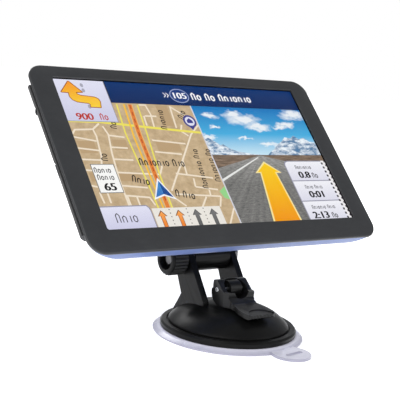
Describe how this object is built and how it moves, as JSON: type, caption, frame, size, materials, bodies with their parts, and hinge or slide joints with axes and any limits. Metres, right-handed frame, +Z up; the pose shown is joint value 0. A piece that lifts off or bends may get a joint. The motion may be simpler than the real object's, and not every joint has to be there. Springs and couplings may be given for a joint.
{
  "type": "portable gps navigator",
  "caption": "Wide-screen car navigator leaning back on a short ball-jointed arm, held by a lever-locked suction stand with a clear pad.",
  "frame": {"origin": "centre of the suction pad's underside, on the surface it stands on", "axes": "+X runs along the screen's width to the user's right, +Y away from the user, +Z up"},
  "size_m": [0.179, 0.1175, 0.1243],
  "materials": {
    "bezel_black": "satin",
    "foam_black": "matt",
    "touch_glass": "polished",
    "display_panel": "smooth",
    "frame_metal": "pressed",
    "shell_blue": "metallic satin",
    "cover_black": "satin",
    "board_green": "solder mask",
    "shield_metal": "plated",
    "chip_black": "matt",
    "antenna_ceramic": "ceramic",
    "battery_wrap": "foil wrap",
    "lead_red": "insulation",
    "speaker_metal": "painted",
    "lead_yellow": "insulation",
    "socket_metal": "plated",
    "jack_black": "satin",
    "flex_amber": "film",
    "button_black": "satin",
    "screw_steel": "plated",
    "bracket_black": "satin",
    "pin_steel": "bright",
    "liner_grey": "matt",
    "stand_black": "satin",
    "knob_black": "matt",
    "lever_black": "satin",
    "pad_clear": "translucent"
  },
  "bodies": {
    "stand": {"suction_base": "stand_black", "suction_pad": "pad_clear", "tilt_bolt": "pin_steel", "friction_washers": "liner_grey", "stem_spring": "pin_steel"},
    "knob": {"clamp_knob": "knob_black", "knob_nut": "pin_steel"},
    "arm": {"support_arm": "stand_black"},
    "collar": {"collar_ring": "stand_black"},
    "liner_pan": {"ball_liner_rear": "liner_grey"},
    "liner_tilt": {"ball_liner_front": "liner_grey"},
    "head": {"front_bezel": "bezel_black", "bezel_gasket": "foam_black", "touch_panel": "touch_glass", "lcd_panel": "display_panel", "lcd_frame": "frame_metal", "rear_shell": "shell_blue", "side_cover": "cover_black", "main_board": "board_green", "processor_shield": "shield_metal", "board_chips": "chip_black", "gps_antenna": "antenna_ceramic", "battery": "battery_wrap", "battery_lead": "lead_red", "speaker": "speaker_metal", "speaker_lead": "lead_yellow", "usb_socket": "socket_metal", "card_socket": "socket_metal", "earphone_jack": "jack_black", "microphone": "shield_metal", "lcd_flex": "flex_amber", "power_switch": "socket_metal", "rear_screws": "screw_steel", "bracket_plate": "bracket_black", "latch_pin": "pin_steel", "latch_spring": "pin_steel"},
    "latch": {"bracket_latch": "bracket_black"},
    "button": {"power_button": "button_black"},
    "stem": {"pull_stem": "stand_black", "lever_pin": "pin_steel"},
    "lever": {"cam_lever": "lever_black"}
  },
  "joints": [
    {"name": "arm_tilt", "type": "hinge", "parent": "stand", "child": "arm", "pos_m": [0, 0.0235, 0.0335], "axis": [-1, 0, 0], "range_deg": [-15, 50]},
    {"name": "knob_turn", "type": "hinge", "parent": "stand", "child": "knob", "pos_m": [-0.02, 0.0235, 0.0335], "axis": [-1, 0, 0], "range_deg": [0, 360]},
    {"name": "collar_turn", "type": "hinge", "parent": "arm", "child": "collar", "pos_m": [0, 0.04377, 0.06745], "axis": [0, -0.7193, 0.6947], "range_deg": [0, 120]},
    {"name": "ball_pan", "type": "hinge", "parent": "arm", "child": "liner_pan", "pos_m": [0, 0.04377, 0.06745], "axis": [0, 0.6947, 0.7193], "range_deg": [-10, 10]},
    {"name": "ball_tilt", "type": "hinge", "parent": "liner_pan", "child": "liner_tilt", "pos_m": [0, 0.04377, 0.06745], "axis": [1, 0, 0], "range_deg": [-10, 10]},
    {"name": "head_spin", "type": "hinge", "parent": "liner_tilt", "child": "head", "pos_m": [0, 0.04377, 0.06745], "axis": [0, 0.7193, -0.6947], "continuous": true},
    {"name": "latch_press", "type": "hinge", "parent": "head", "child": "latch", "pos_m": [0, 0.0521, 0.09277], "axis": [-1, 0, 0], "range_deg": [0, 20], "stiffness_Nm_per_rad": 0.03, "springref_deg": -17.19},
    {"name": "power_press", "type": "slide", "parent": "head", "child": "button", "axis": [0, -0.6947, -0.7193], "range_m": [0, 0.0005], "stiffness_N_per_m": 800, "springref_m": -0.0005},
    {"name": "stem_lift", "type": "slide", "parent": "stand", "child": "stem", "axis": [0, 0, -1], "range_m": [0, 0.0025], "deforming": ["stem_spring"]},
    {"name": "lever_turn", "type": "hinge", "parent": "stem", "child": "lever", "pos_m": [0, 0, 0.0226], "axis": [-1, 0, 0], "range_deg": [0, 65]}
  ],
  "couplings": [
    {"joint": "lever_turn", "follows": "stem_lift", "rad_per_m": 453.78}
  ]
}
